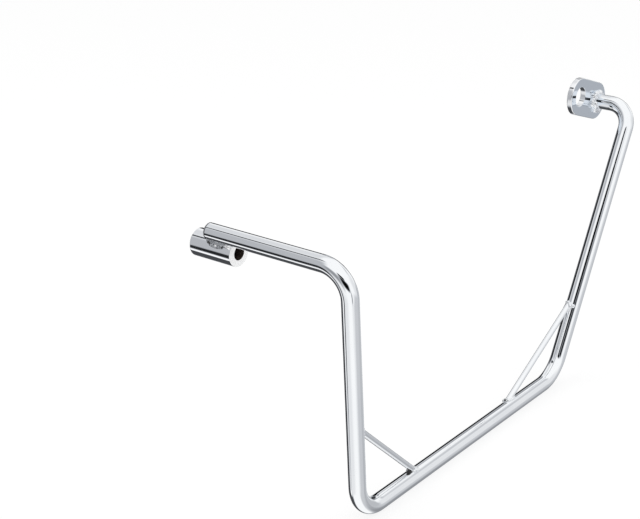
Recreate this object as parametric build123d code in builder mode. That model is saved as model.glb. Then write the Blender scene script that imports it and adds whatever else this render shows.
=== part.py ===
from build123d import *
import os
from math import cos, radians, sin

# Right-hand pannier support frame of a motorcycle. One tube is bent into a loop. A bolt boss is
# welded along its first end, its last end is welded to a mounting plate, and a brace rod is
# welded across each of its two lower corners. All of it is plated after welding.
#
# Millimetres. The origin is the centre of the boss bore, on the boss face that meets the machine.
# +X points out from the machine along that bore, +Y runs from the near leg of the loop towards
# the plate, and +Z is up. The loop lies in one upright plane square to X.

# Tube: its section, and its cut end, measured from the boss's inner face
tube_d = 16.0
tube_wall = 1.5
tube_end = 23.0

# Loop: the runs between the corner points of the centreline
loop_reach = 178.0
near_leg_drop = 243.0
near_leg_lean = 14.0
low_run = 350.0
far_leg_run = 143.0
far_leg_rise = 265.0
plate_reach = 42.0

# Bends: centreline radii, in the order of the tube
top_bend = 28.0
near_bend = 33.0
far_bend = 40.0
plate_bend = 24.0

# Cap that closes the cut end of the tube
cap_head = 1.5
cap_round = 1.0
cap_plug = 5.0
cap_play = 0.1

# Boss: it lies along the tube, turned round it from straight below towards the plate
boss_d = 26.0
boss_bore_d = 13.0
boss_length = 48.0
boss_chamfer = 0.6
boss_turn = 30.0
root_gap = 0.3

# Plate: an obround, with one end round the tube's axis and the other round the hole
plate_width = 40.0
plate_centres = 38.8
plate_tilt = 19.0
plate_thick = 6.0
plate_hole_d = 21.0
plate_round = 0.8

# Brace rods: where their centrelines meet the tube's in side view, measured from the lower corner
# points, and how far inward of the tube's centreline the far one lies
brace_d = 6.0
near_brace_up = 93.0
near_brace_along = 95.0
far_brace_along = 101.0
far_brace_up = 88.0
far_brace_in = 2.5

# Weld beads: two in the grooves between tube and boss, one across the tube's end, one round the
# tube on the plate, whose face bulges along plate_bead_arc, and a collar round each brace end
groove_bead_d = 6.8
groove_bead_out = 4.0
end_bead_d = 7.0
end_bead_length = 12.0
plate_bead = 4.0
plate_bead_arc = 6.0
collar_spread = 2.6
collar_height = 2.2

# Derived sizes and directions
tube_r = tube_d / 2
boss_r = boss_d / 2
brace_r = brace_d / 2
outward = Vector(1, 0, 0)
inward = Vector(-1, 0, 0)
to_boss = Vector(0, sin(radians(boss_turn)), -cos(radians(boss_turn)))
to_plate = Vector(0, cos(radians(boss_turn)), sin(radians(boss_turn)))
to_hole = Vector(0, -cos(radians(plate_tilt)), sin(radians(plate_tilt)))

# Corner points of the tube's centreline
top_corner = outward * loop_reach - to_boss * (tube_r + root_gap + boss_r)
near_corner = top_corner + Vector(0, near_leg_lean, -near_leg_drop)
far_corner = near_corner + Vector(0, low_run, 0)
plate_corner = far_corner + Vector(0, far_leg_run, far_leg_rise)
tube_start = Vector(tube_end, top_corner.Y, top_corner.Z)
plate_seat = plate_corner + inward * plate_reach
bend_radii = [top_bend, near_bend, far_bend, plate_bend]

# Directions of the straight runs that carry the braces, and the points where the braces end
near_leg_way = (top_corner - near_corner).normalized()
low_way = (far_corner - near_corner).normalized()
far_leg_way = (plate_corner - far_corner).normalized()
near_brace_top = near_corner + near_leg_way * near_brace_up
near_brace_low = near_corner + low_way * near_brace_along
far_brace_low = far_corner - low_way * far_brace_along + inward * far_brace_in
far_brace_top = far_corner + far_leg_way * far_brace_up + inward * far_brace_in

os.makedirs("parts", exist_ok=True)

# Centreline of the tube
with BuildLine() as centreline:
    FilletPolyline(
        tube_start, top_corner, near_corner, far_corner, plate_corner, plate_seat, radius=bend_radii
    )

# Solid form of the tube, without its hollow: what is welded to the tube is coped to it
with BuildPart() as tube_form:
    with BuildSketch(Plane(origin=tube_start, z_dir=outward)):
        Circle(tube_r)
    sweep(path=centreline.wire())

# Main tube
with BuildPart() as main_tube:
    with BuildSketch(Plane(origin=tube_start, z_dir=outward)):
        Circle(tube_r)
        Circle(tube_r - tube_wall, mode=Mode.SUBTRACT)
    sweep(path=centreline.wire())
main_tube.part.label = "main_tube"
export_step(main_tube.part, "parts/main_tube.step")

# Tube cap: a rounded head over the cut end and a plug inside it
with BuildPart() as tube_cap:
    with BuildSketch(Plane(origin=tube_start, z_dir=inward)):
        Circle(tube_r)
    extrude(amount=cap_head)
    fillet(tube_cap.edges().group_by(Axis.X)[0], cap_round)
    with BuildSketch(Plane(origin=tube_start, z_dir=outward)):
        Circle(tube_r - tube_wall - cap_play)
    extrude(amount=cap_plug)
tube_cap.part.label = "tube_cap"
export_step(tube_cap.part, "parts/tube_cap.step")

# Bolt boss: a thick sleeve
with BuildPart() as bolt_boss:
    with BuildSketch(Plane.YZ):
        Circle(boss_r)
    extrude(amount=boss_length)
    chamfer(bolt_boss.edges().filter_by(GeomType.CIRCLE), boss_chamfer)
    with BuildSketch(Plane.YZ):
        Circle(boss_bore_d / 2)
    extrude(amount=boss_length, mode=Mode.SUBTRACT)
bolt_boss.part.label = "bolt_boss"
export_step(bolt_boss.part, "parts/bolt_boss.step")

# Mounting plate, with its outer face at the end of the tube
with BuildPart() as mounting_plate:
    with BuildSketch(Plane.YZ.offset(plate_seat.X)):
        plate_middle = plate_seat + to_hole * plate_centres / 2
        with Locations((plate_middle.Y, plate_middle.Z)):
            SlotCenterToCenter(plate_centres, plate_width, rotation=-plate_tilt)
    extrude(amount=-plate_thick)
    rim = mounting_plate.edges().group_by(Axis.X)
    fillet(rim[0] + rim[-1], plate_round)
    hole_centre = plate_seat + to_hole * plate_centres
    with BuildSketch(Plane(origin=hole_centre, z_dir=inward)):
        Circle(plate_hole_d / 2)
    extrude(amount=plate_thick, mode=Mode.SUBTRACT)
mounting_plate.part.label = "mounting_plate"
export_step(mounting_plate.part, "parts/mounting_plate.step")

# Brace rods, coped to the tube at both ends, each with a weld collar at each end
brace_ends = {
    "near_brace": {"top": (near_brace_top, near_leg_way), "low": (near_brace_low, low_way)},
    "far_brace": {"low": (far_brace_low, low_way), "top": (far_brace_top, far_leg_way)},
}
for name, ends in brace_ends.items():
    (first_foot, _), (last_foot, _) = ends.values()
    span = last_foot - first_foot

    with BuildPart() as brace:
        with BuildSketch(Plane(origin=first_foot, z_dir=span)):
            Circle(brace_r)
        extrude(amount=span.length)
        add(tube_form.part, mode=Mode.SUBTRACT)
    brace.part.label = name
    export_step(brace.part, f"parts/{name}.step")

    # Each collar is a wider sleeve round the rod, as high as collar_height above the tube
    for (place, (foot, run_way)), rod_way in zip(ends.items(), [span, -span]):
        on_tube = Vector(loop_reach, foot.Y, foot.Z)
        collar_r = brace_r + collar_spread
        reach = (tube_r + collar_height + collar_r) / sin(radians(rod_way.get_angle(run_way)))
        with BuildPart() as collar:
            with BuildSketch(Plane(origin=foot, z_dir=rod_way)):
                Circle(collar_r)
            extrude(amount=reach)
            with BuildSketch(Plane(origin=on_tube, z_dir=run_way)):
                Circle(tube_r + collar_height)
            extrude(amount=reach * 2, both=True, mode=Mode.INTERSECT)
            add(tube_form.part, mode=Mode.SUBTRACT)
            add(brace.part, mode=Mode.SUBTRACT)
        collar.part.label = f"{name}_{place}_weld"
        export_step(collar.part, f"parts/{name}_{place}_weld.step")

# Groove welds: one bead along each side of the line where tube and boss lie together
joint_line = tube_start + to_boss * (tube_r + root_gap / 2)
for name, side in {"boss_front_weld": -to_plate, "boss_rear_weld": to_plate}.items():
    with BuildPart() as groove_weld:
        with BuildSketch(Plane(origin=joint_line + side * groove_bead_out, z_dir=outward)):
            Circle(groove_bead_d / 2)
        extrude(amount=boss_length - boss_chamfer - tube_end)
        add(tube_form.part, mode=Mode.SUBTRACT)
        with BuildSketch(Plane.YZ):
            Circle(boss_r)
        extrude(amount=boss_length, mode=Mode.SUBTRACT)
    groove_weld.part.label = name
    export_step(groove_weld.part, f"parts/{name}.step")

# End weld: one bead on the boss across the capped end of the tube
with BuildPart() as boss_end_weld:
    with BuildSketch(Plane(origin=joint_line - to_plate * end_bead_length / 2, z_dir=to_plate)):
        Circle(end_bead_d / 2)
    extrude(amount=end_bead_length)
    split(bisect_by=Plane(origin=tube_start, z_dir=inward))
    add(tube_cap.part, mode=Mode.SUBTRACT)
    with BuildSketch(Plane.YZ):
        Circle(boss_r)
    extrude(amount=boss_length, mode=Mode.SUBTRACT)
boss_end_weld.part.label = "boss_end_weld"
export_step(boss_end_weld.part, "parts/boss_end_weld.step")

# Plate weld: a fillet bead round the tube on the plate's outer face
with BuildPart() as plate_weld:
    with BuildSketch(Plane(origin=plate_seat, x_dir=(0, 0, 1), z_dir=(0, 1, 0))):
        with BuildLine():
            foot = (tube_r, 0)
            toe = (tube_r + plate_bead, 0)
            top = (tube_r, plate_bead)
            Line(foot, toe)
            RadiusArc(toe, top, -plate_bead_arc)
            Line(top, foot)
        make_face()
    revolve(axis=Axis(plate_seat, outward))
plate_weld.part.label = "plate_weld"
export_step(plate_weld.part, "parts/plate_weld.step")
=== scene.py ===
from math import cos, pi, radians, sin, sqrt, tau

import bmesh
import bpy
from mathutils import Matrix, Vector


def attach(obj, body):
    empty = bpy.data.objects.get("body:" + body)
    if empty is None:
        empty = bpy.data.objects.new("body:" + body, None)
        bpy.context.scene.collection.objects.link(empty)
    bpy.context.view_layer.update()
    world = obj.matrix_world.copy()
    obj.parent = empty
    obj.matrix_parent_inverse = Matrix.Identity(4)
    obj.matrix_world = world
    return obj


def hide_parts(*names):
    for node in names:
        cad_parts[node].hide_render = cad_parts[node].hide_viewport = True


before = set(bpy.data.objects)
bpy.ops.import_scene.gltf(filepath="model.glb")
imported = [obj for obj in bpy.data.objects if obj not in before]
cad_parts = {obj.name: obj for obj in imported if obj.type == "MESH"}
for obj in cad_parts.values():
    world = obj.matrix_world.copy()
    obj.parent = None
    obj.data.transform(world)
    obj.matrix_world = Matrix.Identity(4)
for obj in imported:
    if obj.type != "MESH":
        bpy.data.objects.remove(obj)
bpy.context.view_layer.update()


# Main tube: one steel tube of 16 mm, bent into a loop on four radii and plated with bright chrome
# after welding. It is swept along the corner points of its centreline, with a radius at each.
tube_r = 0.00798
loop_x = 0.178
tube_end_x = 0.023
plate_face_x = 0.136
top_corner = Vector((loop_x, -0.01065, 0.01845))
near_corner = Vector((loop_x, 0.00335, -0.22455))
far_corner = Vector((loop_x, 0.35335, -0.22455))
plate_corner = Vector((loop_x, 0.49635, 0.04045))
tube_start = Vector((tube_end_x, top_corner.y, top_corner.z))
plate_seat = Vector((plate_face_x, plate_corner.y, plate_corner.z))
tube_bends = [
    (tube_start, 0.0),
    (top_corner, 0.028),
    (near_corner, 0.033),
    (far_corner, 0.040),
    (plate_corner, 0.024),
    (plate_seat, 0.0),
]


class Wire:
    """A node's output. Sums on it add Math nodes to its tree."""

    def __init__(self, bench, socket):
        self.bench = bench
        self.socket = socket

    def sum(self, operation, *values):
        return self.bench.add("ShaderNodeMath", {"operation": operation}, dict(enumerate(values)))

    def __add__(self, other):
        return self.sum("ADD", self, other)

    def __sub__(self, other):
        return self.sum("SUBTRACT", self, other)

    def __rsub__(self, other):
        return self.sum("SUBTRACT", other, self)

    def __mul__(self, other):
        return self.sum("MULTIPLY", self, other)

    def __pow__(self, other):
        return self.sum("POWER", self, other)

    __radd__ = __add__
    __rmul__ = __mul__


class Bench:
    """A node tree. The add method makes any node: its settings first, then its sockets."""

    def __init__(self, tree):
        self.tree = tree
        tree.nodes.clear()

    def add(self, kind, settings=None, sockets=None, out=None):
        node = self.tree.nodes.new(kind)
        for key, value in (settings or {}).items():
            setattr(node, key, value)
        for key, value in (sockets or {}).items():
            if isinstance(key, int):
                entry = node.inputs[key]
            else:
                entry = next(s for s in node.inputs if s.name == key and s.enabled)
            if isinstance(value, Wire):
                self.tree.links.new(value.socket, entry)
            else:
                entry.default_value = value
        live = [s for s in node.outputs if s.enabled]
        if not live:
            return node
        return Wire(self, live[0] if out is None else next(s for s in live if s.name == out))


def new_finish(name):
    """A material with an empty node tree, and the bench that fills it."""
    material = bpy.data.materials.new(name)
    material.use_nodes = True
    return material, Bench(material.node_tree)


haze_scale = 24.0
grain_scale = 900.0
shine_low = 0.035
shine_spread = 0.05
chrome_ripple = 0.00004
chrome_ripple_scale = 55.0
spot_heart = 0.6  # the share of a spot's reach in which it is at its full
dark_matte_shade = 0.5  # a tone darker than this lies matte over the metal: painted shade, dark spots
dark_matte_cover = 0.95
dark_matte_rough = 0.5


def chrome(
    name,
    dull=0.84,
    bright=0.92,
    cool=0.05,
    ripple=chrome_ripple,
    ripple_scale=chrome_ripple_scale,
    pitted=0.0,
    tone_spots=(),
    side="GREATER_THAN",
    side_x=0.0,
    painted_side_tone=None,
):
    """Bright chrome over steel, with a faint ripple and haze. It may have fine pits, dark and
    light spots, each given by its centre, reach and shade, some of them painted shadows and
    painted highlights, and a painted shade on the side of the plane X = side_x that side names.
    What is darker than a set shade lies matte over the metal."""
    material, bench = new_finish(name)
    place = bench.add("ShaderNodeTexCoord", out="Object")
    waves = bench.add(
        "ShaderNodeTexNoise", None, {"Vector": place, "Scale": ripple_scale, "Detail": 2.0}
    )
    haze = bench.add(
        "ShaderNodeTexNoise", None, {"Vector": place, "Scale": haze_scale, "Detail": 3.0}
    )
    height = waves
    if pitted:
        grain = bench.add(
            "ShaderNodeTexNoise", None, {"Vector": place, "Scale": grain_scale, "Detail": 3.0}
        )
        height = waves + grain * pitted
    tint = bench.add(
        "ShaderNodeMix",
        {"data_type": "RGBA"},
        {
            "Factor": haze,
            "A": (dull, dull + cool * 0.4, dull + cool, 1),
            "B": (bright, bright + cool * 0.3, bright + cool * 0.5, 1),
        },
    )
    dark_matte = 0.0
    # Painted shade on one side of the plane: the tube end's painted shadow, the plate face's
    # painted reflection
    if painted_side_tone:
        out_from = bench.add("ShaderNodeSeparateXYZ", None, {"Vector": place}, out="X")
        on_side = bench.add("ShaderNodeMath", {"operation": side}, {0: out_from, 1: side_x})
        tint = bench.add(
            "ShaderNodeMix",
            {"data_type": "RGBA"},
            {"Factor": on_side, "A": tint, "B": (*painted_side_tone, 1)},
        )
        if max(painted_side_tone) < dark_matte_shade:
            dark_matte = on_side
    # Dark and light spots: some are painted shadows and painted highlights, and the darkest lie
    # matte
    for centre, reach, shade in tone_spots:
        off = bench.add(
            "ShaderNodeVectorMath",
            {"operation": "DISTANCE"},
            {0: place, 1: tuple(centre)},
            out="Value",
        )
        spot = bench.add(
            "ShaderNodeMapRange",
            {"interpolation_type": "SMOOTHSTEP"},
            {"Value": off, "From Min": reach, "From Max": reach * spot_heart},
        )
        tone = (shade, shade, shade, 1)
        tint = bench.add(
            "ShaderNodeMix", {"data_type": "RGBA"}, {"Factor": spot, "A": tint, "B": tone}
        )
        if shade < dark_matte_shade:
            dark_matte = bench.add("ShaderNodeMath", {"operation": "MAXIMUM"}, {0: dark_matte, 1: spot})
    bump = bench.add(
        "ShaderNodeBump", None, {"Strength": 1.0, "Distance": ripple, "Height": height}
    )
    shine = bench.add(
        "ShaderNodeBsdfPrincipled",
        None,
        {
            "Base Color": tint,
            "Metallic": 1 - dark_matte * dark_matte_cover,
            "Roughness": haze * shine_spread + shine_low + dark_matte * dark_matte_rough,
            "Normal": bump,
        },
    )
    bench.add("ShaderNodeOutputMaterial", None, {"Surface": shine})
    return material


def chain(name, places, breaks=(), **measures):
    """An object with edges through places, open after breaks, and named numbers at each place."""
    mesh = bpy.data.meshes.new(name)
    edges = [(n, n + 1) for n in range(len(places) - 1) if n not in breaks]
    mesh.from_pydata([tuple(p) for p in places], edges, [])
    for key, values in measures.items():
        data = mesh.attributes.new(key, "FLOAT", "POINT").data
        for entry, value in zip(data, values):
            entry.value = value
    piece = bpy.data.objects.new(name, mesh)
    bpy.context.collection.objects.link(piece)
    return piece


def settle(piece, material):
    """Turns a piece's modifiers into a plain smooth mesh with one finish."""
    bpy.context.view_layer.update()
    seen = piece.evaluated_get(bpy.context.evaluated_depsgraph_get())
    made = bpy.data.meshes.new_from_object(seen)
    piece.modifiers.clear()
    piece.data = made
    made.name = piece.name
    made.materials.clear()
    made.materials.append(material)
    made.polygons.foreach_set("material_index", [0] * len(made.polygons))
    made.polygons.foreach_set("use_smooth", [True] * len(made.polygons))
    made.update()
    return piece


def geometry_tree(name, **numbers):
    """A Geometry Nodes tree with a line and named numbers as its inputs."""
    tree = bpy.data.node_groups.new(name, "GeometryNodeTree")
    tree.is_modifier = True
    tree.interface.new_socket("Line", in_out="INPUT", socket_type="NodeSocketGeometry")
    keys = {}
    for key, start in numbers.items():
        kind = "NodeSocketInt" if isinstance(start, int) else "NodeSocketFloat"
        socket = tree.interface.new_socket(key, in_out="INPUT", socket_type=kind)
        socket.default_value = start
        keys[key] = socket.identifier
    socket = tree.interface.new_socket("Finish", in_out="INPUT", socket_type="NodeSocketMaterial")
    keys["Finish"] = socket.identifier
    tree.interface.new_socket("Piece", in_out="OUTPUT", socket_type="NodeSocketGeometry")
    bench = Bench(tree)
    entry = tree.nodes.new("NodeGroupInput")
    return bench, {s.name: Wire(bench, s) for s in entry.outputs if s.name}, keys


def use_tree(piece, tree, keys, **numbers):
    """Puts a Geometry Nodes tree on a piece and sets its inputs by identifier."""
    step = piece.modifiers.new("made", "NODES")
    step.node_group = tree
    for key, value in numbers.items():
        step[keys[key]] = value


rod_bench, rod_in, rod_keys = geometry_tree(
    "bent rod", Radius=0.008, Step=0.0015, Sides=72, Corner=24
)
rod_line = rod_bench.add("GeometryNodeMeshToCurve", None, {"Mesh": rod_in["Line"]})
rod_bend = rod_bench.add(
    "GeometryNodeInputNamedAttribute", {"data_type": "FLOAT"}, {"Name": "bend"}
)
rod_line = rod_bench.add(
    "GeometryNodeFilletCurve",
    {"mode": "POLY"},
    {"Curve": rod_line, "Count": rod_in["Corner"], "Radius": rod_bend},
)
rod_line = rod_bench.add(
    "GeometryNodeResampleCurve", {"mode": "LENGTH"}, {"Curve": rod_line, "Length": rod_in["Step"]}
)
rod_ring = rod_bench.add(
    "GeometryNodeCurvePrimitiveCircle",
    None,
    {"Resolution": rod_in["Sides"], "Radius": rod_in["Radius"]},
)
rod_skin = rod_bench.add(
    "GeometryNodeCurveToMesh",
    None,
    {"Curve": rod_line, "Profile Curve": rod_ring, "Fill Caps": True},
)
rod_skin = rod_bench.add("GeometryNodeRealizeInstances", None, {"Geometry": rod_skin})
rod_skin = rod_bench.add(
    "GeometryNodeSetMaterial", None, {"Geometry": rod_skin, "Material": rod_in["Finish"]}
)
rod_bench.add("NodeGroupOutput", None, {0: rod_skin})

# A band at the sawn end is painted near-black and matte: a painted shadow and dark reflection in
# the gap between the tube's end, its cap and the boss
end_shade_width = 0.0010
tube_chrome = chrome(
    "tube chrome",
    side="LESS_THAN",
    side_x=tube_end_x + end_shade_width,
    painted_side_tone=(0.03, 0.03, 0.035),
)
main_tube = chain("main_tube.skin", [p for p, _ in tube_bends], bend=[b for _, b in tube_bends])
use_tree(
    main_tube,
    rod_bench.tree,
    rod_keys,
    Radius=tube_r,
    Step=0.0015,
    Sides=72,
    Corner=32,
    Finish=tube_chrome,
)
settle(main_tube, tube_chrome)
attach(main_tube, "root")
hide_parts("main_tube")


# Tube cap: a pressed steel disc with a rounded rim and a plug, driven into the tube's cut end
# and plated with the rest. It is turned round the tube's axis.
cap_head = 0.0015
cap_round = 0.0014
cap_shoulder = 0.0026
cap_plug = 0.005
cap_plug_r = 0.0064
cap_edge = 0.0001
near_row = 0.0002  # from an edge to the row of points that holds it sharp on a face


def turned(name, section, centre, material, sides=96, ring=False):
    """A round piece about an axis along X: section gives (x, radius) from one end to the other."""
    mesh = bpy.data.meshes.new(name)
    form = bmesh.new()
    loops = []
    for x, r in section:
        if r == 0:
            loops.append([form.verts.new((x, centre.y, centre.z))])
            continue
        turns = [tau * n / sides for n in range(sides)]
        places = [(x, centre.y + r * cos(a), centre.z + r * sin(a)) for a in turns]
        loops.append([form.verts.new(p) for p in places])
    pairs = list(zip(loops, loops[1:] + loops[:1])) if ring else list(zip(loops, loops[1:]))
    for one, two in pairs:
        for n in range(sides):
            m = (n + 1) % sides
            if len(one) == 1:
                form.faces.new((one[0], two[n], two[m]))
            elif len(two) == 1:
                form.faces.new((one[n], two[0], one[m]))
            else:
                form.faces.new((one[n], two[n], two[m], one[m]))
    bmesh.ops.recalc_face_normals(form, faces=form.faces)
    for face in form.faces:
        face.smooth = True
    form.to_mesh(mesh)
    form.free()
    mesh.materials.append(material)
    piece = bpy.data.objects.new(name, mesh)
    bpy.context.collection.objects.link(piece)
    return piece


def rounding(x, r, size, start, steps=4, tall=None):
    """Points of a quarter round about (x, r), from the angle start in degrees."""
    angles = [radians(start + 90 * n / steps) for n in range(steps + 1)]
    return [(x + size * cos(a), r + (tall or size) * sin(a)) for a in angles]


cap_face_x = tube_end_x - cap_head
cap_flat_r = tube_r - cap_shoulder
cap_rim = rounding(cap_face_x + cap_round, cap_flat_r, cap_round, 90, 8, cap_shoulder)
cap_section = [(cap_face_x, 0.0), (cap_face_x, cap_flat_r - near_row)]
cap_section += list(reversed(cap_rim))
cap_section += [
    (tube_end_x - cap_edge, tube_r),
    (tube_end_x, tube_r - cap_edge),
    (tube_end_x, cap_plug_r + cap_edge),
    (tube_end_x + cap_edge, cap_plug_r),
    (tube_end_x + cap_plug, cap_plug_r),
    (tube_end_x + cap_plug, 0.0),
]
tube_cap = turned("tube_cap.skin", cap_section, tube_start, chrome("cap chrome"))
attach(tube_cap, "root")
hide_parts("tube_cap")


# Bolt boss: a thick turned steel sleeve with its bore for an M12 bolt, welded along the tube's
# first end. Its round side is bright chrome, its faced ends are satin and painted near-white, a
# painted reflection, and its bore is dull and painted near-black, a painted shade in the hole.
boss_r = 0.013
boss_bore_r = 0.0065
boss_length = 0.048
boss_edge = 0.0006
bore_edge = 0.0003
edge_row = 0.0003  # from an edge to the row of points that holds it sharp on a round side
face_skin = 0.0003  # how deep the satin and the painted white of the faced ends go
bore_skin = 0.00035  # how far the bore's painted shade and dull finish reach past its wall
bore_mottle_scale = 400.0
satin_cover = 0.9
satin_rough = 0.35
bore_cover = 0.8
bore_rough = 0.55

boss_finish, bench = new_finish("boss chrome")
place = bench.add("ShaderNodeTexCoord", out="Object")
along = bench.add("ShaderNodeSeparateXYZ", None, {"Vector": place}, out="X")
across = Wire(bench, along.socket.node.outputs["Y"])
height = Wire(bench, along.socket.node.outputs["Z"])
radius = (across * across + height * height) ** 0.5
in_bore = bench.add(
    "ShaderNodeMath", {"operation": "LESS_THAN"}, {0: radius, 1: boss_bore_r + bore_skin}
)
on_end = bench.add(
    "ShaderNodeMath", {"operation": "GREATER_THAN"}, {0: along, 1: boss_length - face_skin}
)
on_start = bench.add("ShaderNodeMath", {"operation": "LESS_THAN"}, {0: along, 1: face_skin})
on_face = on_end + on_start
satin = on_face * (1 - in_bore)
waves = bench.add(
    "ShaderNodeTexNoise", None, {"Vector": place, "Scale": chrome_ripple_scale, "Detail": 2.0}
)
haze = bench.add("ShaderNodeTexNoise", None, {"Vector": place, "Scale": haze_scale, "Detail": 3.0})
bore_mottle = bench.add("ShaderNodeTexNoise", None, {"Vector": place, "Scale": bore_mottle_scale, "Detail": 4.0})
shine_tint = bench.add(
    "ShaderNodeMix",
    {"data_type": "RGBA"},
    {"Factor": haze, "A": (0.84, 0.86, 0.89, 1), "B": (0.92, 0.93, 0.94, 1)},
)
# The faced ends' near-white is a painted reflection, in place of the bright light their metal
# mirrors
face_glare_tint = bench.add(
    "ShaderNodeMix",
    {"data_type": "RGBA"},
    {"Factor": on_face, "A": shine_tint, "B": (0.97, 0.97, 0.97, 1)},
)
# The bore's mottled near-black is a painted shade in the hole
bore_shade_tint = bench.add(
    "ShaderNodeMix",
    {"data_type": "RGBA"},
    {"Factor": bore_mottle, "A": (0.020, 0.014, 0.011, 1), "B": (0.070, 0.050, 0.040, 1)},
)
boss_tint = bench.add(
    "ShaderNodeMix", {"data_type": "RGBA"}, {"Factor": in_bore, "A": face_glare_tint, "B": bore_shade_tint}
)
boss_rough = haze * shine_spread + shine_low + satin * satin_rough + in_bore * bore_rough
bump = bench.add(
    "ShaderNodeBump", None, {"Strength": 1.0, "Distance": chrome_ripple, "Height": waves}
)
shine = bench.add(
    "ShaderNodeBsdfPrincipled",
    None,
    {
        "Base Color": boss_tint,
        "Metallic": 1 - in_bore * bore_cover - satin * satin_cover,
        "Roughness": boss_rough,
        "Normal": bump,
    },
)
bench.add("ShaderNodeOutputMaterial", None, {"Surface": shine})

side_r = boss_r - boss_edge
bore_lip_r = boss_bore_r + bore_edge
boss_section = [
    (bore_edge + edge_row, boss_bore_r),
    (bore_edge, boss_bore_r),
    (0.0, bore_lip_r),
    (0.0, bore_lip_r + edge_row),
    (0.0, side_r - near_row),
]
boss_section += list(reversed(rounding(boss_edge, side_r, boss_edge, 90)))
boss_section += [(boss_edge + edge_row, boss_r), (boss_length - boss_edge - edge_row, boss_r)]
boss_section += list(reversed(rounding(boss_length - boss_edge, side_r, boss_edge, 0)))
boss_section += [
    (boss_length, side_r - near_row),
    (boss_length, bore_lip_r + edge_row),
    (boss_length, bore_lip_r),
    (boss_length - bore_edge, boss_bore_r),
    (boss_length - bore_edge - edge_row, boss_bore_r),
]
bolt_boss = turned("bolt_boss.skin", boss_section, Vector((0, 0, 0)), boss_finish, ring=True)
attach(bolt_boss, "root")
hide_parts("bolt_boss")


# Mounting plate: 6 mm steel cut to an obround with one large hole, its edges broken by rolling,
# set square to the tube's last end with its outer face at the cut, and chromed with the rest.
plate_r = 0.01998
plate_centres = 0.0388
plate_tilt = radians(19.0)
plate_thick = 0.006
plate_hole_r = 0.0105
plate_round = 0.0008
plate_round_steps = 4
plate_row = 0.0004
hole_round = 0.0003
hole_mid = hole_round * 0.3  # the middle of that rounding, from the face and from the wall
plate_points = 144
to_hole = Vector((0, -cos(plate_tilt), sin(plate_tilt)))
plate_across = Vector((0, sin(plate_tilt), cos(plate_tilt)))
hole_centre = plate_seat + to_hole * plate_centres


def on_plate(centre, reach, turn):
    """The point of the plate's face at reach from centre, turned from the way to the hole."""
    return centre + to_hole * reach * cos(turn) + plate_across * reach * sin(turn)


def obround(inset):
    """The plate's outline, pulled in by inset, started and spaced as the hole's points are."""
    outline = []
    reach = plate_r - inset
    half = plate_points // 2
    for n in range(half + 1):
        outline.append(on_plate(hole_centre, reach, pi * n / half - pi / 2))
    for n in range(half + 1):
        outline.append(on_plate(plate_seat, reach, pi * n / half + pi / 2))
    return outline


def plate_hole(grow):
    """The hole's rim, widened by grow, with as many points as the outline."""
    count = len(obround(0))
    turns = [tau * (n + 0.5) / count - pi / 2 for n in range(count)]
    return [on_plate(hole_centre, plate_hole_r + grow, turn) for turn in turns]


plate_loops = []
hole_edge = [
    (hole_round + edge_row, 0.0),
    (hole_round, 0.0),
    (hole_mid, hole_mid),
    (0.0, hole_round),
]
for x, grow in hole_edge:
    plate_loops.append([p - Vector((x, 0, 0)) for p in plate_hole(grow)])
plate_loops.append(plate_hole(hole_round + plate_row))
plate_loops.append(obround(plate_round + plate_row))
for step in range(plate_round_steps + 1):
    turn = radians(90 * step / plate_round_steps)
    depth = plate_round * (1 - cos(turn))
    inset = plate_round * (1 - sin(turn))
    plate_loops.append([p - Vector((depth, 0, 0)) for p in obround(inset)])
plate_loops.append([p - Vector((plate_round + plate_row, 0, 0)) for p in obround(0)])
middle = plate_face_x - plate_thick / 2
for loop in list(reversed(plate_loops)):
    plate_loops.append([Vector((2 * middle - p.x, p.y, p.z)) for p in loop])

same_point = 0.00001
mesh = bpy.data.meshes.new("mounting_plate.skin")
form = bmesh.new()
rows = [[form.verts.new(p) for p in loop] for loop in plate_loops]
for one, two in zip(rows, rows[1:] + rows[:1]):
    for n in range(len(one)):
        m = (n + 1) % len(one)
        form.faces.new((one[n], two[n], two[m], one[m]))
bmesh.ops.remove_doubles(form, verts=form.verts, dist=same_point)
bmesh.ops.recalc_face_normals(form, faces=form.faces)
for face in form.faces:
    face.smooth = True
form.to_mesh(mesh)
form.free()
# The plate's outer face is given a darker blue-grey tone: a painted reflection
plate_chrome = chrome(
    "plate chrome",
    dull=0.86,
    bright=0.93,
    cool=0.03,
    ripple=0.00002,
    ripple_scale=40.0,
    side_x=plate_face_x - 0.0001,
    painted_side_tone=(0.72, 0.77, 0.83),
)
mesh.materials.append(plate_chrome)
mounting_plate = bpy.data.objects.new("mounting_plate.skin", mesh)
bpy.context.collection.objects.link(mounting_plate)
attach(mounting_plate, "root")
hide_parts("mounting_plate")


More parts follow.
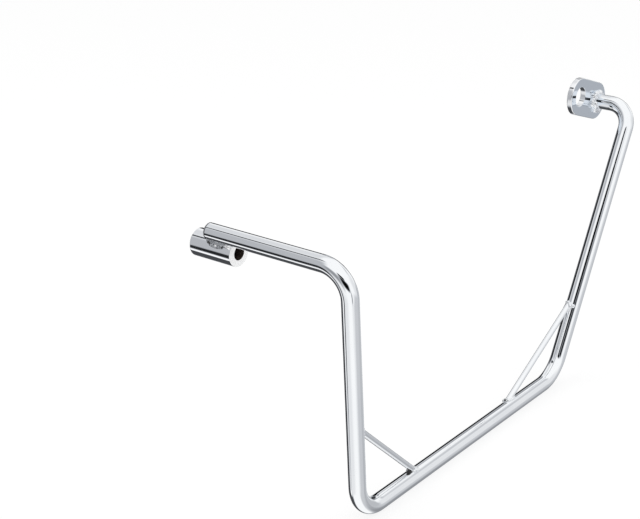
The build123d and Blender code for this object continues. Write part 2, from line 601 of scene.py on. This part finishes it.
# Brace rods: two straight 6 mm steel rods, cut to lie across the lower corners of the loop and
# coped to the tube at both ends. The far one is set in a little from the tube's centreline.
brace_r = 0.003
brace_sunk = 0.001  # how deep a rod's end goes into the tube's skin, out of sight
near_brace_up = 0.093
near_brace_along = 0.095
far_brace_along = 0.101
far_brace_up = 0.088
far_brace_in = Vector((-0.0025, 0, 0))
near_leg_way = (top_corner - near_corner).normalized()
low_way = (far_corner - near_corner).normalized()
far_leg_way = (plate_corner - far_corner).normalized()
brace_feet = {
    "near_brace": [
        ("top", near_corner + near_leg_way * near_brace_up, near_leg_way),
        ("low", near_corner + low_way * near_brace_along, low_way),
    ],
    "far_brace": [
        ("low", far_corner - low_way * far_brace_along + far_brace_in, low_way),
        ("top", far_corner + far_leg_way * far_brace_up + far_brace_in, far_leg_way),
    ],
}
for name, ((_, first, _), (_, last, _)) in brace_feet.items():
    span = (last - first).normalized()
    skip = span * (tube_r - brace_sunk)
    ends = [first + skip, last - skip]
    brace = chain(f"{name}.skin", ends, bend=[0.0, 0.0])
    use_tree(
        brace,
        rod_bench.tree,
        rod_keys,
        Radius=brace_r,
        Step=0.004,
        Sides=48,
        Finish=tube_chrome,
    )
    settle(brace, tube_chrome)
    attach(brace, "root")
    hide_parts(name)


# Welds: hand-laid beads of filler, lumpy where each puddle froze, and plated over. One lies in
# each groove between tube and boss, one across the tube's end, one round the tube on the plate,
# and one round each end of a brace rod.
weld_voxel = 0.00032
weld_passes = 4

# Centre, reach and shade of each dark spot on the welds
dark_weld_spots = [
    ((0.1788, 0.0825, -0.2155), 0.0038, 0.02),
    ((0.1828, 0.0853, -0.2180), 0.0010, 0.02),
    ((0.1796, 0.0131, -0.1430), 0.0009, 0.02),
    ((0.1767, 0.2660, -0.2160), 0.0012, 0.02),
    ((0.1748, 0.2603, -0.2152), 0.0017, 0.02),
    ((0.1830, 0.0945, -0.2178), 0.0009, 0.02),
    ((0.1735, 0.3800, -0.1495), 0.0019, 0.02),
    ((0.1380, 0.4873, 0.0476), 0.0012, 0.02),
    ((0.1385, 0.4869, 0.0425), 0.0011, 0.02),
    ((0.1390, 0.4930, 0.0340), 0.0008, 0.02),
]
weld_chrome = chrome(
    "weld chrome", ripple=0.00045, ripple_scale=600.0, pitted=0.8, tone_spots=dark_weld_spots
)
# Spots on the boss welds: the first, by the tube's end, is a painted shadow of the gap there; the
# next are a row of dark spots along the weld; the light ones are painted highlights on a streak
# and on the ball
boss_spots = [
    ((0.0216, -0.0165, 0.0122), 0.0026, 0.02),
    ((0.0235, -0.0125, 0.0080), 0.0024, 0.03),
    ((0.0255, -0.0118, 0.0050), 0.0020, 0.03),
    ((0.0290, -0.0120, 0.0044), 0.0019, 0.03),
    ((0.0325, -0.0121, 0.0042), 0.0018, 0.03),
    ((0.0385, -0.0119, 0.0066), 0.0015, 0.04),
    ((0.0420, -0.0117, 0.0056), 0.0016, 0.04),
    ((0.0275, -0.0117, 0.0076), 0.0015, 0.97),
    ((0.0310, -0.0120, 0.0068), 0.0015, 0.97),
    ((0.0458, -0.0103, 0.0080), 0.0058, 0.97),
]
# The boss welds' chrome is darkened to between 0.12 and 0.60: a painted shade for beads lying in
# the grooves between tube and boss
boss_weld_chrome = chrome(
    "boss weld chrome",
    dull=0.12,
    bright=0.60,
    ripple=0.0006,
    ripple_scale=420.0,
    pitted=0.5,
    tone_spots=boss_spots,
)

weld_bench, weld_in, weld_keys = geometry_tree(
    "weld bead", Step=0.0012, Wander=0.0006, Thin=0.8, Fat=1.25, Seed=1
)
weld_line = weld_bench.add("GeometryNodeMeshToCurve", None, {"Mesh": weld_in["Line"]})
weld_line = weld_bench.add(
    "GeometryNodeResampleCurve",
    {"mode": "LENGTH"},
    {"Curve": weld_line, "Length": weld_in["Step"]},
)
weld_size = weld_bench.add(
    "GeometryNodeInputNamedAttribute", {"data_type": "FLOAT"}, {"Name": "size"}
)
weld_luck = weld_bench.add(
    "FunctionNodeRandomValue",
    {"data_type": "FLOAT"},
    {"Min": weld_in["Thin"], "Max": weld_in["Fat"], "Seed": weld_in["Seed"]},
)
weld_shift = weld_bench.add(
    "FunctionNodeRandomValue",
    {"data_type": "FLOAT_VECTOR"},
    {"Min": (-1, -1, -1), "Max": (1, 1, 1), "Seed": weld_in["Seed"]},
)
weld_shift = weld_bench.add(
    "ShaderNodeVectorMath",
    {"operation": "SCALE"},
    {"Vector": weld_shift, "Scale": weld_in["Wander"]},
)
weld_line = weld_bench.add(
    "GeometryNodeSetPosition", None, {"Geometry": weld_line, "Offset": weld_shift}
)
weld_drop = weld_bench.add("GeometryNodeMeshIcoSphere", None, {"Radius": 1.0, "Subdivisions": 3})
weld_skin = weld_bench.add(
    "GeometryNodeInstanceOnPoints",
    None,
    {"Points": weld_line, "Instance": weld_drop, "Scale": weld_size * weld_luck},
)
weld_skin = weld_bench.add("GeometryNodeRealizeInstances", None, {"Geometry": weld_skin})
weld_skin = weld_bench.add(
    "GeometryNodeSetMaterial", None, {"Geometry": weld_skin, "Material": weld_in["Finish"]}
)
weld_bench.add("NodeGroupOutput", None, {0: weld_skin})


def weld(
    node,
    places,
    sizes,
    breaks=(),
    seed=1,
    step=0.0012,
    wander=0.0005,
    thin=0.8,
    fat=1.2,
    finish=weld_chrome,
):
    """Lays a row of frozen puddles through places, melts them into one skin and stands it in."""
    bead = chain(f"{node}.skin", places, breaks=breaks, size=sizes)
    use_tree(
        bead,
        weld_bench.tree,
        weld_keys,
        Step=step,
        Wander=wander,
        Thin=thin,
        Fat=fat,
        Seed=seed,
        Finish=finish,
    )
    melt = bead.modifiers.new("melt", "REMESH")
    melt.mode = "VOXEL"
    melt.voxel_size = weld_voxel
    soften = bead.modifiers.new("soften", "SMOOTH")
    soften.factor = 0.5
    soften.iterations = weld_passes
    settle(bead, finish)
    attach(bead, "root")
    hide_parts(node)
    return bead


# Groove welds and end weld: two beads of filler between tube and boss, and one blob across the
# tube's end. In each groove a thin second run lies lower on the boss, and the torch was lifted at
# a ball.
boss_turn = radians(30.0)
root_gap = 0.0003
groove_out = 0.0041
groove_length = 0.0205
groove_start = 0.0008
groove_size = 0.0029
groove_steps = 12
second_run = [(0.0245, 33, 0.0131, 0.0015), (0.0370, 35, 0.0131, 0.0015)]
ball = (0.0450, 22, 0.0135, 0.0026)  # X, degrees round the boss from the tube, radius, size
ball_run = 0.0003
end_weld_length = 0.009
end_weld_out = 0.0006
end_weld_size = 0.0027
end_weld_steps = 8
to_boss = Vector((0, sin(boss_turn), -cos(boss_turn)))
to_plate = Vector((0, cos(boss_turn), sin(boss_turn)))
joint_line = tube_start + to_boss * (tube_r + root_gap / 2)
grooves = {"boss_front_weld": -to_plate, "boss_rear_weld": to_plate}
for number, (node, side) in enumerate(grooves.items()):
    start = joint_line + side * groove_out + Vector((groove_start, 0, 0))
    places = []
    for n in range(groove_steps + 1):
        places.append(start + Vector((groove_length * n / groove_steps, 0, 0)))
    sizes = [groove_size] * len(places)
    for x, turn, reach, size in (*second_run, ball):
        spoke = side * sin(radians(turn)) - to_boss * cos(radians(turn))
        places.append(spoke * reach + Vector((x, 0, 0)))
        sizes.append(size)
    places.append(places[-1] + Vector((ball_run, 0, 0)))
    sizes.append(sizes[-1])
    weld(
        node,
        places,
        sizes,
        breaks=(groove_steps, groove_steps + 2),
        seed=11 + number,
        wander=0.0004,
        thin=0.9,
        fat=1.1,
        finish=boss_weld_chrome,
    )
places = []
for n in range(end_weld_steps + 1):
    slide = end_weld_length * n / end_weld_steps - end_weld_length / 2
    places.append(joint_line + to_plate * slide - Vector((end_weld_out, 0, 0)))
sizes = [end_weld_size] * len(places)
weld("boss_end_weld", places, sizes, seed=5, finish=boss_weld_chrome)

# Plate weld: a wide uneven fillet of filler, run all round the tube on the plate's outer face,
# with lobes where the torch dwelt and three drips where the filler ran on.
plate_weld_r = tube_r + 0.0012
plate_weld_size = 0.0026
plate_weld_out = 0.0004
plate_weld_steps = 48
lobe_reach = 0.0006  # how far the largest lobe stands out
lobes = [1.0, 1.15, 0.9, 1.0, 1.25, 0.95, 1.1, 0.9, 1.2, 1.0, 0.9, 1.1]
drip_taper = 0.85
places = []
sizes = []
for n in range(plate_weld_steps):
    turn = tau * n / plate_weld_steps
    lobe = lobes[n * len(lobes) // plate_weld_steps]
    reach = plate_weld_r + lobe_reach * (lobe - 1) / (max(lobes) - 1)
    places.append(plate_seat + Vector((plate_weld_out, reach * cos(turn), reach * sin(turn))))
    sizes.append(plate_weld_size * lobe)
places.append(places[0])
sizes.append(sizes[0])

# Start and end of each drip, from the middle of the plate's seat, and its size
drips = [
    ((0.0024, -0.0068, 0.0100), (0.0030, -0.0040, 0.0102), 0.0030),
    ((0.0034, -0.0080, -0.0010), (0.0024, -0.0060, -0.0060), 0.0031),
    ((0.0018, 0.0000, -0.0105), (0.0006, 0.0055, -0.0128), 0.0024),
]
breaks = []
for first, last, size in drips:
    breaks.append(len(places) - 1)
    places += [plate_seat + Vector(first), plate_seat + Vector(last)]
    sizes += [size, size * drip_taper]
weld("plate_weld", places, sizes, breaks=breaks, seed=3)

# Brace welds: a small bead round each rod end, on the saddle line where it meets the tube. The
# near low one has a blob of slag in its inner corner and a drop of spatter beside it, and the far
# top one has a lump on its outer side.
ring_r = brace_r - 0.0002
ring_size = 0.0016
ring_lift = 0.0004
ring_steps = 36
drop_run = 0.0002

# Place and size of each drop
spatter = {
    "near_brace_low_weld": [
        ((0.1778, 0.0835, -0.2157), 0.0024),
        ((0.1815, 0.0937, -0.2170), 0.0014),
    ],
    "far_brace_top_weld": [((0.1810, 0.3842, -0.1520), 0.0019)],
}
for name, feet in brace_feet.items():
    for (end, foot, run_way), (_, other, _) in zip(feet, feet[::-1]):
        node = f"{name}_{end}_weld"
        rod_way = (other - foot).normalized()
        up = rod_way.cross(Vector((1, 0, 0)))
        square = (rod_way - run_way * rod_way.dot(run_way)).normalized()
        slope = rod_way.dot(square)
        places = []
        for n in range(ring_steps + 1):
            turn = tau * n / ring_steps
            out = Vector((ring_r * cos(turn), 0, 0))
            lift = sqrt((tube_r + ring_lift) ** 2 - (foot.x - loop_x + out.x) ** 2)
            reach = (lift - ring_r * sin(turn) * up.dot(square)) / slope
            places.append(foot + rod_way * reach + out + up * ring_r * sin(turn))
        sizes = [ring_size] * (ring_steps + 1)
        breaks = []
        for drop, size in spatter.get(node, ()):
            breaks.append(len(places) - 1)
            places += [Vector(drop), Vector(drop) + Vector((0, 0, drop_run))]
            sizes += [size, size]
        weld(node, places, sizes, breaks=breaks, seed=21 + len(end), step=0.0010)


# Floor: a plain white sheet that the frame lies on. Most of its white is its own, so that it
# fades into the white behind it, and the rest takes the soft shadow.
floor_z = -0.23262
floor_half = 12.0
floor_glow = 1.02
floor_own_white = 0.75
weave_scale = 30.0
floor_paint, bench = new_finish("floor white")
place = bench.add("ShaderNodeTexCoord", out="Object")
weave = bench.add(
    "ShaderNodeTexNoise", None, {"Vector": place, "Scale": weave_scale, "Detail": 2.0}
)
paint_tint = bench.add(
    "ShaderNodeMix",
    {"data_type": "RGBA"},
    {"Factor": weave, "A": (0.97, 0.97, 0.97, 1), "B": (0.98, 0.98, 0.98, 1)},
)
paint = bench.add("ShaderNodeBsdfPrincipled", None, {"Base Color": paint_tint, "Roughness": 0.9})
glow = bench.add("ShaderNodeEmission", None, {"Color": (1, 1, 1, 1), "Strength": floor_glow})
to_camera = bench.add("ShaderNodeLightPath", out="Is Camera Ray")
floor_mix = bench.add(
    "ShaderNodeMixShader", None, {0: to_camera * floor_own_white, 1: paint, 2: glow}
)
bench.add("ShaderNodeOutputMaterial", None, {"Surface": floor_mix})
mesh = bpy.data.meshes.new("floor")
corners = [(-1, -1), (1, -1), (1, 1), (-1, 1)]
places = [(x * floor_half, y * floor_half, floor_z) for x, y in corners]
mesh.from_pydata(places, [], [(0, 1, 2, 3)])
mesh.materials.append(floor_paint)
floor = bpy.data.objects.new("floor", mesh)
bpy.context.collection.objects.link(floor)
floor.visible_glossy = False


# Studio: a white tent with grey and black cards, seen only by what shines. Each card is a rounded
# oblong patch of the sky: in degrees, its bearing from +Y towards +X, elevation, half width, half
# height and tilt, then how soft its edge is, and its level.
tent_level = 1.05
room_level = 0.85
studio_cards = {
    "white back": (44, 8, 24, 24, 0, 0.50, 0.86),
    "grey floor far": (38, -36, 52, 27, 0, 0.20, 0.65),
    "grey floor patch": (6, -45, 28, 13, 0, 0.50, 0.32),
    "grey back": (20, -13, 15, 15, 0, 0.35, 0.55),
    "inner corner": (-20, -2, 12, 16, 0, 0.40, 0.06),
    "white floor front": (-160, -34, 26, 12, 0, 0.50, 0.88),
    "grey wall front": (-165, 4, 24, 15, 0, 0.50, 0.33),
    "grey wall back": (20, 36, 12, 6, 0, 0.80, 0.62),
    "front left wall": (-139, 12, 17, 32, 0, 0.40, 0.52),
    "ceiling": (-75, 50, 28, 12, 0, 0.60, 0.78),
    "front left beam": (-122, 46, 4, 18, 48, 0.40, 0.03),
    "dark machine side": (-89, -17, 18.5, 44, 12, 0.20, 0.02),
    "dark machine foot": (-84, -54, 34, 15, 0, 0.30, 0.07),
    "dark machine behind": (-56, -12, 20, 28, 0, 0.30, 0.16),
    "white strip": (-125, -41, 6, 6, -40, 0.30, 1.12),
    "dark strip": (-139, -23, 12, 5.5, -57, 0.30, 0.02),
    "camera side": (151, 30, 15, 5, 0, 0.25, 0.00),
    "camera side low": (143, 13, 26, 12, 0, 0.30, 0.00),
    "grey streak": (114, -12, 5, 13, 5, 0.50, 0.30),
    "behind low": (-29, 27, 8, 7, 0, 0.50, 0.35),
    "behind": (-43, 4, 11, 14, 0, 0.20, 0.00),
}

world = bpy.data.worlds.new("studio")
world.use_nodes = True
bpy.context.scene.world = world
bench = Bench(world.node_tree)
way = bench.add("ShaderNodeTexCoord", out="Generated")
tent = tent_level
for bearing, lift, wide, high, tilt, soft, level in studio_cards.values():
    b, e, t = radians(bearing), radians(lift), radians(tilt)
    aim = Vector((sin(b) * cos(e), cos(b) * cos(e), sin(e)))
    level_way = Vector((cos(b), -sin(b), 0))
    upright = level_way.cross(aim)
    side = (level_way * cos(t) + upright * sin(t)) / sin(radians(wide))
    rise = (upright * cos(t) - level_way * sin(t)) / sin(radians(high))
    parts = []
    for axis in (side, rise, aim):
        dot = {"operation": "DOT_PRODUCT"}
        parts.append(bench.add("ShaderNodeVectorMath", dot, {0: way, 1: tuple(axis)}, out="Value"))
    wide_sq = parts[0] * parts[0]
    high_sq = parts[1] * parts[1]
    far_out = (wide_sq * wide_sq + high_sq * high_sq) ** 0.25
    inside = bench.add(
        "ShaderNodeMapRange",
        {"interpolation_type": "SMOOTHSTEP"},
        {"Value": far_out, "From Min": 1 + soft, "From Max": 1 - soft},
    )
    ahead = bench.add("ShaderNodeMath", {"operation": "GREATER_THAN"}, {0: parts[2], 1: 0.0})
    mask = inside * ahead
    tent = mask * level + (1 - mask) * tent
cool = bench.add(
    "ShaderNodeMix",
    {"data_type": "RGBA"},
    {"Factor": tent, "A": (0.93, 0.97, 1.06, 1), "B": (1.0, 1.0, 1.0, 1)},
)
rays = bench.add("ShaderNodeLightPath", out="Is Camera Ray")
shiny = Wire(bench, rays.socket.node.outputs["Is Glossy Ray"])
clear = Wire(bench, rays.socket.node.outputs["Is Transmission Ray"])
in_metal = bench.add("ShaderNodeMath", {"operation": "MAXIMUM"}, {0: shiny, 1: clear})
strength = rays + (1 - rays) * (in_metal * tent + (1 - in_metal) * room_level)
sky_tint = bench.add(
    "ShaderNodeMix", {"data_type": "RGBA"}, {"Factor": in_metal, "A": (1, 1, 1, 1), "B": cool}
)
sky = bench.add("ShaderNodeBackground", None, {"Color": sky_tint, "Strength": strength})
bench.add("ShaderNodeOutputWorld", None, {"Surface": sky})

# Lamps: two large soft boxes above the frame, with little power. They only ground it on the
# floor, and the chrome doesn't mirror them.
for name, place, power, size in (
    ("softbox left", (-0.9, -0.8, 1.5), 9.0, 1.6),
    ("softbox right", (1.4, 0.9, 1.6), 7.0, 1.6),
):
    box = bpy.data.lights.new(name, "AREA")
    box.energy = power
    box.size = size
    lamp = bpy.data.objects.new(name, box)
    lamp.location = place
    aim = Vector((0.09, 0.24, -0.1)) - lamp.location
    lamp.rotation_euler = aim.to_track_quat("-Z", "Y").to_euler()
    lamp.visible_glossy = False
    bpy.context.collection.objects.link(lamp)


# Camera: a long lens that looks down on the loop from beyond its near leg, at the photograph's
# angle. Its small shift only frames the picture.
lens_data = bpy.data.cameras.new("camera")
lens_data.sensor_width = 36.0
lens_data.lens = 83.32
lens_data.shift_x = 0.01216
lens_data.shift_y = -0.00137
camera = bpy.data.objects.new("camera", lens_data)
aim = Vector((-0.0120, 0.1811, -0.0787))
azimuth = radians(38.233)
elevation = radians(22.034)
roll = radians(-0.570)
camera_distance = 1.514
turn = Matrix.Rotation(azimuth, 4, "Z")
turn = turn @ Matrix.Rotation(pi / 2 - elevation, 4, "X")
turn = turn @ Matrix.Rotation(roll, 4, "Z")
back = turn @ Vector((0, 0, 1))
camera.matrix_world = Matrix.Translation(aim + back * camera_distance) @ turn
bpy.context.collection.objects.link(camera)
bpy.context.scene.camera = camera
bpy.context.scene.view_settings.view_transform = "Standard"
